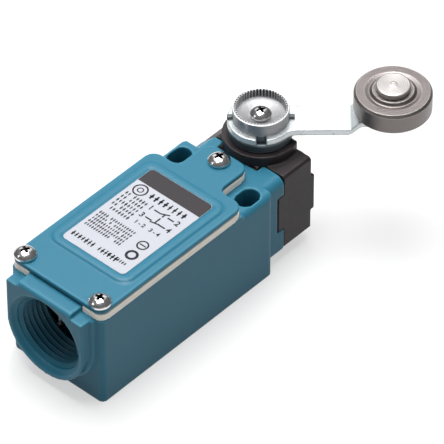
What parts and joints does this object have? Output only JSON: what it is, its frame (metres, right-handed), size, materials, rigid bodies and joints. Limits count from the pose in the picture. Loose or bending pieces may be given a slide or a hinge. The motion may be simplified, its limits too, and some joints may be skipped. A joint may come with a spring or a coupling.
{
  "type": "limit switch",
  "caption": "Box-shaped limit switch with a threaded conduit entry, two fixing holes, a screwed cover and a rotary head with an adjustable roller lever.",
  "frame": {"origin": "on the back face, midway between the two fixing holes", "axes": "+Z out of the back face towards the cover, +Y along the body towards the head, conduit entry facing -Y"},
  "size_m": [0.0484, 0.109, 0.0452],
  "materials": {
    "body_paint": "semi-gloss stoved paint on zinc casting",
    "gasket_cream": "matt cut sheet",
    "bright_screw": "bright nickel plate",
    "label_foil": "silver-white foil",
    "head_black": "brownish black, matt",
    "seal_rubber": "matt",
    "bush_bronze": "sintered bronze",
    "shaft_steel": "ground",
    "spring_steel": "drawn wire",
    "disc_dark": "dark phosphate",
    "lever_zinc": "bright zinc plate",
    "hub_zinc": "cast, satin",
    "pin_steel": "turned",
    "roller_sinter": "sintered steel, steam treated",
    "block_plastic": "moulded",
    "contact_brass": "stamped strip with silver tips",
    "terminal_plate": "plated"
  },
  "bodies": {
    "root": {"housing": "body_paint", "cover": "body_paint", "cover_gasket": "gasket_cream", "cover_screws": "bright_screw", "rating_label": "label_foil", "head_housing": "head_black", "head_gasket": "seal_rubber", "head_screws": "bright_screw", "shaft_bush": "bush_bronze", "shaft_seal": "seal_rubber", "tappet_spring": "spring_steel", "contact_block": "block_plastic", "block_lid": "block_plastic", "block_screws": "bright_screw", "nc_fixed_contacts": "contact_brass", "no_fixed_contacts": "contact_brass", "terminal_clamps": "terminal_plate", "terminal_screws": "bright_screw", "plunger_spring": "spring_steel", "earth_clamp": "terminal_plate", "earth_screw": "bright_screw"},
    "lever": {"shaft": "shaft_steel", "drive_disc": "disc_dark", "lever_arm": "lever_zinc", "lever_hub": "hub_zinc", "hub_screw": "bright_screw", "roller_pin": "pin_steel", "roller_washer": "lever_zinc"},
    "roller": {"roller": "roller_sinter"},
    "tappet": {"tappet": "shaft_steel"},
    "plunger": {"contact_plunger": "block_plastic", "nc_bridge": "contact_brass", "no_bridge": "contact_brass", "nc_contact_spring": "spring_steel", "no_contact_spring": "spring_steel"}
  },
  "joints": [
    {"name": "lever_turn", "type": "hinge", "parent": "root", "child": "lever", "pos_m": [0, 0.0162, 0.0325], "axis": [0, 0, 1], "range_deg": [-75, 75], "stiffness_Nm_per_rad": 0.1},
    {"name": "roller_spin", "type": "hinge", "parent": "lever", "child": "roller", "pos_m": [0.0237, 0.038, 0.0401], "axis": [0, 0, 1], "continuous": true},
    {"name": "tappet_slide", "type": "slide", "parent": "root", "child": "tappet", "axis": [0, -1, 0], "range_m": [0, 0.0025], "stiffness_N_per_m": 300, "springref_m": -0.004, "deforming": ["tappet_spring"]},
    {"name": "plunger_slide", "type": "slide", "parent": "root", "child": "plunger", "axis": [0, -1, 0], "range_m": [0, 0.0025], "deforming": ["plunger_spring"]}
  ],
  "couplings": [
    {"joint": "plunger_slide", "follows": "tappet_slide", "ratio": 1}
  ]
}
